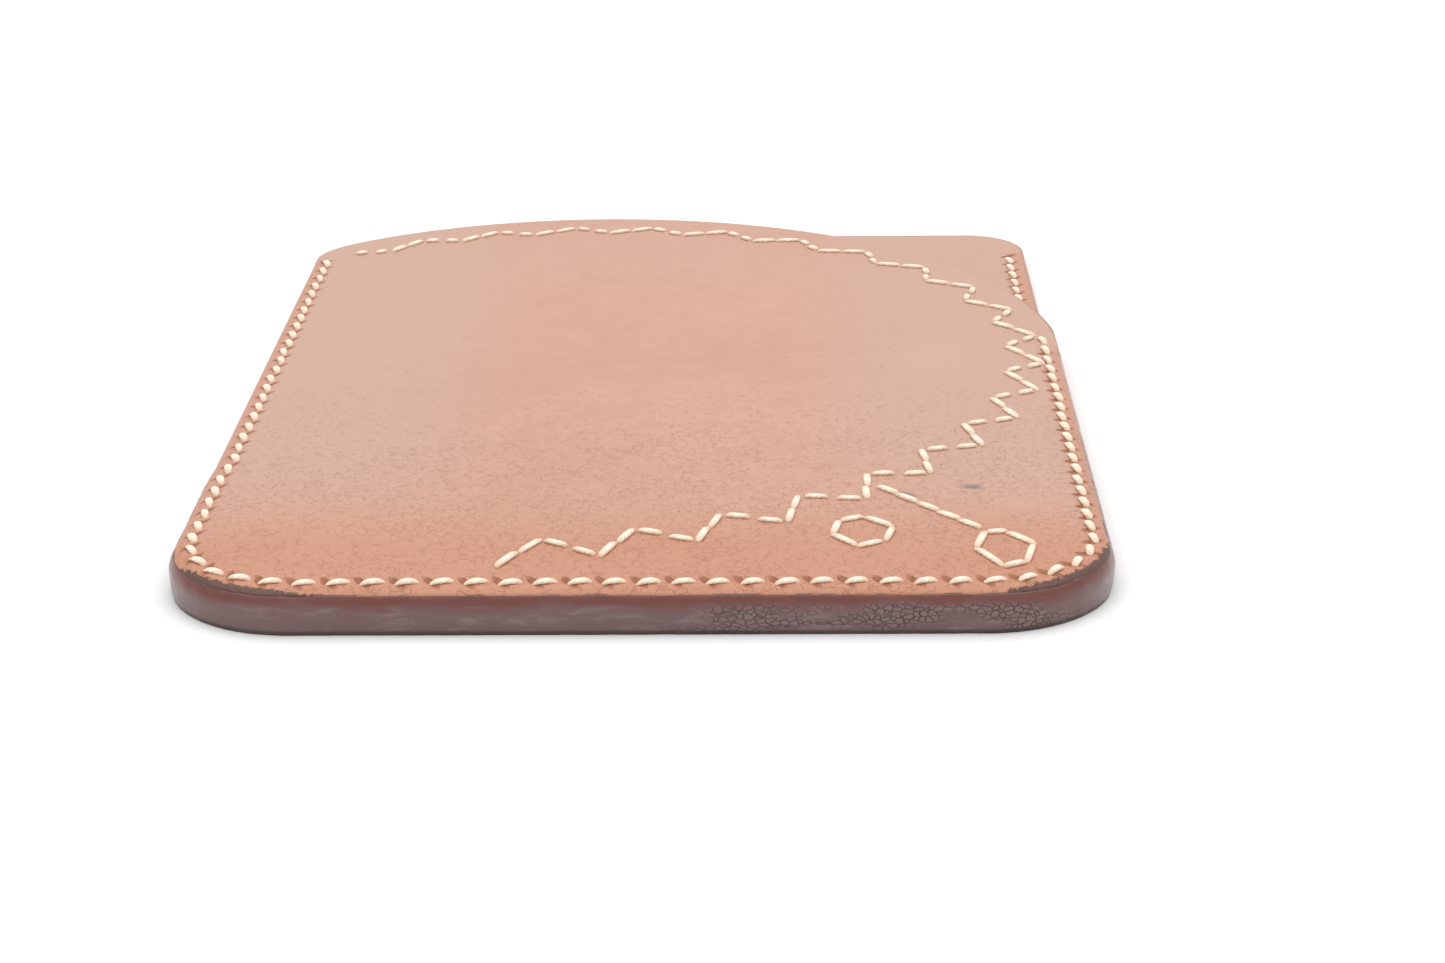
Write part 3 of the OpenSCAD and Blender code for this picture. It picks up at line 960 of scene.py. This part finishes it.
backRings = {
    "column": 0.42,
    "lip": 0.3,
    "wide": [0.45, 0.65, 0.9, 1.15, 1.35, 1.5, 1.65, 1.8, 1.95, 2.1, 2.3, 2.6, 3.2, 4.0, 5.0],
    "spokes": 12,
    "rounding": 0.22,
    "trough": 0.14,
    "troughWidth": 0.5,
    "lastHoleY": 45.1,
    "coatTurnIn": 0.8,     # how far the coat turns in under the panel on the left
    # painted sheen over the whole back panel
    "sheenAmount": 0.9,
}


def edgeDistance(x, y):
    # distance from the back panel's outline along its straight sides, enough for the margin's relief
    return np.minimum(np.minimum(rightX(y) - x, x - leftX(y)), y - holder["nearY"])


def backTop(x, y):
    distance = edgeDistance(x, y)
    fade = 1 - ramp((y - 43.5) / 3)
    trough = -backRings["trough"] * np.exp(-((distance - seam["margin"]) / backRings["troughWidth"]) ** 2)
    far = np.minimum(distance, holder["farY"] - y)
    lip = -backRings["rounding"] * np.clip(1 - far / 0.8, 0, 1) ** 2
    return holder["backTopZ"] + trough * fade + lip


def backUnder(x, y):
    far = np.minimum(edgeDistance(x, y), holder["farY"] - y)
    return holder["backLowZ"] + backRings["rounding"] * np.clip(1 - far / 0.8, 0, 1) ** 2


def makeBackPanel():
    path = loopOf(nearRun(backRings["column"])
                  + [farPath(backRings["column"]),
                     sideRun(leftX, holder["hiddenInsetY"], holder["nearY"] + holder["nearCorner"], -1,
                             backRings["column"])])
    distances = [backRings["lip"]] + backRings["wide"]
    low, high = holder["backLowZ"], holder["backTopZ"]
    x, y = path[:, 0], path[:, 1]
    turned = np.where((x < 0) & (y > holder["rearMouthY"] - 1) & (y < seam["startY"]), 1.0, 0.0)
    under = [backRings["lip"] + backRings["coatTurnIn"] * turned] + [d for d in backRings["wide"] if d > 1.1]
    piece, rows, columns = closedPanel("backPanel", path, (distances, backRings["spokes"], backTop),
                                       (under, backRings["spokes"], backUnder),
                                       [(0.25 + 0.4 * turned, low + 0.3), (0.25, high - 0.3)],
                                       material["leather"], (0, 0))
    phase = seam["stitches"] + (y - backRings["lastHoleY"]) / seam["pitch"]
    sewn = np.where((x > 0) & (y > 8) & (y < backRings["lastHoleY"] + 1.4), 1, 0)
    keepColumns(piece, "seamPhase", phase, rows)
    keepColumns(piece, "sewn", sewn, rows)
    # painted sheen over the whole back panel
    keepAttribute(piece, "paintedSheen", np.full(len(piece.data.vertices), backRings["sheenAmount"]))
    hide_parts("back_panel")
    return piece


backPanel = makeBackPanel()
print("back panel", len(backPanel.data.polygons))


rearRings = {
    "column": 0.6,
    "wide": [0.45, 0.65, 0.9, 1.15, 1.35, 1.5, 1.65, 1.8, 1.95, 2.1, 2.3, 2.6, 3.2],
    "lip": 0.3,
    "spokes": 12,
    "groove": 0.42,
    "grooveWidth": 0.42,
    "rounding": 0.2,
    "middle": (8.0, -18.0),
}


def makeRearPocket():
    path = loopOf(nearRun(rearRings["column"])
                  + [rearMouthPath(rearRings["column"]),
                     sideRun(leftX, holder["rearMouthY"], holder["nearY"] + holder["nearCorner"], -1,
                             rearRings["column"])])
    path = smoothNormals(path, 3)
    distances = [rearRings["lip"]] + rearRings["wide"]
    onLeft = (path[:, 0] < 0) & (path[:, 1] < holder["rearMouthY"])
    onRight = (path[:, 0] > 0) & (path[:, 1] < holder["mouthY"])
    sewn = np.where(onLeft | onRight, 1.0, 0.0)          # the coat turns in under the pocket here
    lower = [rearRings["lip"] + 0.75 * sewn] + [d for d in rearRings["wide"] if d > 1.1]

    def under(x, y):
        distance = sewnDistance(x, y)
        groove = rearRings["groove"] * np.exp(-((distance - seam["margin"]) / rearRings["grooveWidth"]) ** 2)
        fade = 1 - ramp((y - 43) / 3)
        return groove * np.where(x > 0, fade, 1 - ramp((y + 27) / 1.5))

    def top(x, y):
        return holder["backLowZ"] + 0 * x

    piece, rows, columns = closedPanel("rearPocket", path, (distances, rearRings["spokes"], top),
                                       (lower, rearRings["spokes"], under),
                                       [(0.25 + 0.7 * sewn, 0.15), (0.25 + 0.25 * sewn, 0.55)],
                                       material["leather"], rearRings["middle"])
    keepAttribute(piece, "seamPhase", np.zeros(rows * columns + 2))
    keepAttribute(piece, "sewn", np.zeros(rows * columns + 2))       # no painted slit shade or worn margin underneath
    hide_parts("rear_pocket")
    return piece


rearPocket = makeRearPocket()
print("rear pocket", len(rearPocket.data.polygons))


coat = {
    "column": 0.35,
    "upperFall": 1.40,      # section: outward is -fall (1 - sin a), height is middle + rise cos a
    "upperStart": 0.70,
    "lowerFall": 0.38,
    "lowerEnd": 0.50,
    "middle": 1.90,
    "topZ": 3.25,
    "inner": 0.75,
    "wave": 0.05,
    "swell": 0.04,
    "stepRun": 2.0,
}


def wavy(length, amount, seed):
    # a sum of a few sines of seeded pitch and phase
    rng = np.random.default_rng(seed)
    total = np.zeros_like(length)
    for pitch in (3.1, 5.3, 9.7, 17.0):
        total += np.sin(length / pitch * 2 * pi + rng.random() * 2 * pi) * rng.uniform(0.5, 1)
    return amount * total / 2


def sewnOutward(z, low):
    # the sewn coat's section as an outward distance for a height
    middle = coat["middle"] + 0.45 * low
    upperRise = (coat["topZ"] - middle) / math.cos(coat["upperStart"])
    lowerRise = (middle - low) / math.cos(coat["lowerEnd"])
    rise = np.where(z > middle, upperRise, lowerRise)
    fall = np.where(z > middle, coat["upperFall"], coat["lowerFall"])
    return -fall * (1 - np.sqrt(np.clip(1 - ((z - middle) / rise) ** 2, 0, 1)))


def makeSewnCoat():
    path = sewnPath(coat["column"], mouthCornerCentre[1])
    _, length = seamTable(path)
    low = np.where(path[:, 0] < 0, holder["backLowZ"], 0.0)
    low = low * ramp((path[:, 1] - holder["rearMouthY"]) / coat["stepRun"] + 0.5)
    middle = coat["middle"] + 0.45 * low
    ends = ramp((length - length[0]) / 5) * ramp((length[-1] - length) / 5)
    top = coat["topZ"] + wavy(length, coat["wave"], 3) * ends
    upperRise = (top - middle) / math.cos(coat["upperStart"])
    lowerRise = (middle - low) / math.cos(coat["lowerEnd"])
    upper = np.linspace(coat["upperStart"], pi / 2, 9)
    lower = np.linspace(pi / 2, pi - coat["lowerEnd"], 11)[1:]
    swell = np.abs(wavy(length, coat["swell"], 5) * ends)[:, None]
    upperOut = -coat["upperFall"] * (1 - np.sin(upper)) - swell
    upperZ = middle[:, None] + upperRise[:, None] * np.cos(upper)
    lowerOut = -coat["lowerFall"] * (1 - np.sin(lower)) - swell
    lowerZ = middle[:, None] + lowerRise[:, None] * np.cos(lower)
    back = np.stack([low + 0.1, middle, top - 0.35], 1)
    backOut = np.full_like(back, -coat["inner"])
    backOut[:, 0] -= 0.3
    out = np.hstack([upperOut, lowerOut, backOut])
    z = np.hstack([upperZ, lowerZ, back])
    piece = sweptBand("sewnEdgeCoat", path, np.stack([out, z], -1), material["edge"])
    keepAttribute(piece, "coatHeight", np.append(z / holder["topZ"], [0.5, 0.5]))
    x, y = path[:, 0], path[:, 1]
    onNear = ramp((x + 2) / 14) * (1 - ramp((x - 31) / 6)) * (1 - ramp((y + 50) / 2))
    keepAttribute(piece, "crackle", np.append(np.repeat(onNear, out.shape[1]), [0, 0]))
    right = arcRun(mouthCentre, holder["mouthRadius"], 0, 0.11, 0.4)
    left = arcRun(mouthCornerCentre, holder["mouthCorner"], pi - 0.3, pi, 0.4)
    weltEnds = [makeBead("weltEdgeRight", right, 1.6, 2.8, 0.0, 0.0, False),
                makeBead("weltEdgeLeft", left, 1.6, 2.8, holder["backLowZ"], 0.0, True)]
    piece = joinPieces("sewnEdgeCoat", [piece] + weltEnds)
    # paler towards the far end
    keepAttribute(piece, "pale", 0.9 * ramp((placesOf(piece)[:, 1] + 40) / 34))
    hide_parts("sewn_edge_coat")
    return piece


bead = {
    "column": 0.6,
    "bulge": 0.28,         # half round: outward is bulge (sin a - 1)
    "steps": 9,
    "lipAngle": 0.25,      # the half round starts and ends at this angle from upright
    "inner": 0.5,
    "blend": 6.0,          # run over which it grows out of the sewn coat's section
}


def joinPieces(name, pieces):
    # several meshes become one piece
    bpy.ops.object.select_all(action="DESELECT")
    for piece in pieces:
        piece.select_set(True)
    bpy.context.view_layer.objects.active = pieces[0]
    bpy.ops.object.join()
    joinedPiece = bpy.context.view_layer.objects.active
    joinedPiece.name = name
    joinedPiece.data.name = name
    return joinedPiece


def makeBead(name, path, low, high, stackLow, endTrim, fromEnd=True):
    # a half-round coat on one layer's edge; where it meets the sewn coat it takes that coat's section
    length = np.append(0, np.cumsum(np.hypot(*np.diff(path[:, :2], axis=0).T)))
    share = ramp(length / bead["blend"]) if not fromEnd or endTrim else 1.0
    share = share * (ramp((length[-1] - length) / bead["blend"]) if fromEnd else 1.0)
    share = np.reshape(share, (-1, 1))
    angle = np.linspace(bead["lipAngle"], pi - bead["lipAngle"], bead["steps"])
    top = high - (1 - share) * endTrim
    half = (top - low) / 2 / math.cos(bead["lipAngle"])
    z = (low + top) / 2 + half * np.cos(angle)
    out = share * bead["bulge"] * (np.sin(angle) - 1) + (1 - share) * (sewnOutward(z, stackLow) - 0.005)
    inner = -bead["inner"] - 0.6 * (1 - share)
    out = np.hstack([out, inner, inner])
    z = np.hstack([z, low + 0.12 + 0 * share, top - 0.12 * share - 0.3 * (1 - share)])
    piece = sweptBand(name, path, np.stack([out, z], -1), material["edge"])
    keepAttribute(piece, "coatHeight", np.append(0.55 * (z - low) / (high - low) + 0.2, [0.5, 0.5]))
    keepAttribute(piece, "crackle", np.zeros(out.size + 2))
    return piece


def placeCoat(piece, node):
    keepAttribute(piece, "pale", np.ones(len(piece.data.vertices)))
    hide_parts(node)


sewnCoat = makeSewnCoat()
print("sewn edge coat", len(sewnCoat.data.polygons))
placeCoat(makeBead("frontMouthCoat", mouthPath(bead["column"]), holder["weltTopZ"], holder["topZ"] - 0.15,
                   0.4, 0.5), "front_mouth_coat")
placeCoat(makeBead("farEdgeCoat", farPath(bead["column"]), holder["backLowZ"] + 0.03,
                   holder["backTopZ"] - 0.03, 0.4, 0.001), "far_edge_coat")
placeCoat(makeBead("rearMouthCoat", rearMouthPath(bead["column"]), 0.0, holder["backLowZ"] - 0.02,
                   0.0, 0.001), "rear_mouth_coat")
print("edge coats ready")


seamStitch = {
    "rings": 11,
    "around": 8,
    "gap": 0.22,
    "slant": 0.52,
    "shift": 0.05,
    "lift": 0.17,
    "dive": 0.26,
    "flat": 2.6,
    "blunt": 2.6,
    "halfWidth": 0.36,
    "halfHeight": 0.22,
}

lineStitch = {
    "rings": 9,
    "around": 8,
    "gap": -0.07,
    "slant": 0.18,
    "shift": 0.06,
    "lift": 0.13,
    "dive": 0.06,
    "flat": 6.0,
    "blunt": 6.0,
    "halfWidth": 0.33,
    "halfHeight": 0.21,
}


def makePerimeterThread():
    front = seam["frontStitches"]
    first, last = holes[:-1], holes[1:]
    rearSide = seam["rearFirstHole"] - 1
    parts = [
        stitchMesh("frontRow", first[:front], last[:front], frontTop, seamStitch, 11),
        stitchMesh("backRow", first[front + 1:], last[front + 1:], backTop, seamStitch, 12),
        stitchMesh("underBack", first[:rearSide], last[:rearSide], backUnder, seamStitch, 13, -1),
        stitchMesh("underRear", first[rearSide:], last[rearSide:], lambda x, y: rearRings["groove"] + 0 * x,
                   seamStitch, 14, -1),
    ]
    piece = joinPieces("perimeterThread", parts)
    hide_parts("perimeter_thread")
    return piece


perimeterThread = makePerimeterThread()
print("perimeter thread", len(perimeterThread.data.polygons))


zigzag = {
    "pitch": 8.34,
    "depth": 4.6,
    "endDepth": 1.8,
    "teeth": 21,
    "lead": 0.55,
    "guideX": 36.0,
    "guideY": 5.1,
    "nearRadius": 54.9,
    "farRadius": 43.2,
    "start": -78.7,
    "legGap": 0.38,        # the legs that run out to the tips show their holes
}


def guidePoint(s, inset):
    # two arcs that join at the guide line's rightmost point, drawn in by the inset
    r = np.where(s < 0, zigzag["nearRadius"], zigzag["farRadius"])
    return np.stack([zigzag["guideX"] - r + (r - inset) * np.cos(s / r),
                     zigzag["guideY"] + (r - inset) * np.sin(s / r)], -1)


def splitLegs(corners, stitches):
    # every leg between two corners divided evenly
    share = np.arange(stitches) / stitches
    legs = corners[:-1, None] + (corners[1:] - corners[:-1])[:, None] * share[None, :, None]
    return np.vstack([legs.reshape(-1, 2), corners[-1:]])


def zigzagHoles():
    i = np.arange(zigzag["teeth"])
    tips = guidePoint(zigzag["start"] + zigzag["pitch"] * i, 0.0)
    depth = zigzag["depth"] + (zigzag["endDepth"] - zigzag["depth"]) * i / (zigzag["teeth"] - 1)
    roots = guidePoint(zigzag["start"] + zigzag["pitch"] * (i + zigzag["lead"]), depth)
    last = guidePoint(zigzag["start"] + zigzag["pitch"] * zigzag["teeth"], 0.0)
    return splitLegs(np.vstack([np.stack([tips, roots], 1).reshape(-1, 2), last]), 2)


def makeLine(name, node, points, seed, extra=0.0):
    piece = joinPieces(name, [
        stitchMesh(name, points[:-1], points[1:], frontTop, lineStitch, seed, 1, extra),
        stitchMesh(name + "Under", points[:-1], points[1:], frontUnder, lineStitch, seed + 1, -1),
    ])
    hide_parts(node)
    return piece


figures = {
    # corners of the two hexagons, sewn by eye, and the ends of the line that joins one to the zigzag
    "left": [(16.1, -40.2), (18.1, -39.4), (20.3, -41.7), (19.5, -44.6), (17.3, -45.6), (15.4, -43.1)],
    "right": [(27.8, -42.8), (29.5, -42.7), (31.5, -45.3), (30.6, -48.8), (28.7, -49.6), (26.7, -46.0)],
    "link": [(19.4, -32.3), (27.4, -42.0)],
    "linkStitches": 5,
}

shortLegs = np.tile([0.0, 0.0, zigzag["legGap"], zigzag["legGap"]], zigzag["teeth"])
makeLine("zigzagThread", "zigzag_thread", zigzagHoles(), 21, shortLegs)
makeLine("leftHexagonThread", "left_hexagon_thread", np.array(figures["left"] + figures["left"][:1]), 31)
makeLine("rightHexagonThread", "right_hexagon_thread", np.array(figures["right"] + figures["right"][:1]), 41)
makeLine("linkThread", "link_thread", splitLegs(np.array(figures["link"]), figures["linkStitches"]), 51)
print("decorative stitching ready")


studio = {
    "world": 0.74,
    "floor": 0.83,
    "floorHalf": 4.0,
    "lightSize": 2.4,
    "lightHeight": 1.6,
    "lightPower": 29.6,
}


def makeFloor():
    mesh = bpy.data.meshes.new("floor")
    half = studio["floorHalf"]
    corners = [(-half, -half, 0), (half, -half, 0), (half, half, 0), (-half, half, 0)]
    mesh.from_pydata(corners, [], [(0, 1, 2, 3)])
    floor = bpy.data.objects.new("floor", mesh)
    bpy.context.scene.collection.objects.link(floor)
    paint, _, shader = newMaterial("paleFloor")
    shader.inputs["Base Color"].default_value = (studio["floor"], studio["floor"], studio["floor"], 1)
    shader.inputs["Roughness"].default_value = 0.9
    shader.inputs["Specular IOR Level"].default_value = 0.0
    mesh.materials.append(paint)


def makeLights():
    world = bpy.data.worlds.new("studio")
    bpy.context.scene.world = world
    world.use_nodes = True
    sky = world.node_tree.nodes["Background"]
    sky.inputs["Color"].default_value = (1, 1, 1, 1)
    sky.inputs["Strength"].default_value = studio["world"]
    lamp = bpy.data.lights.new("softbox", "AREA")
    lamp.shape = "SQUARE"
    lamp.size = studio["lightSize"]
    lamp.energy = studio["lightPower"]
    light = bpy.data.objects.new("softbox", lamp)
    light.location = (0, 0.3, studio["lightHeight"])
    bpy.context.scene.collection.objects.link(light)


view = {
    "lens": 78.37,
    "place": (0.01151, -0.27872, 0.09648),
    "tilt": 69.618,
    "pan": 1.183,
    "roll": -0.651,
}


def makeCamera():
    data = bpy.data.cameras.new("camera")
    data.lens = view["lens"]
    data.sensor_width = 36.0
    data.clip_start = 0.01
    data.clip_end = 20.0
    camera = bpy.data.objects.new("camera", data)
    pan = Matrix.Rotation(math.radians(view["pan"]), 4, "Z")
    tilt = Matrix.Rotation(math.radians(view["tilt"]), 4, "X")
    roll = Matrix.Rotation(math.radians(view["roll"]), 4, "Z")
    camera.matrix_world = Matrix.Translation(view["place"]) @ pan @ tilt @ roll
    bpy.context.scene.collection.objects.link(camera)
    bpy.context.scene.camera = camera


makeFloor()
makeLights()
makeCamera()
bpy.context.scene.view_settings.view_transform = "Standard"
print("stage ready")
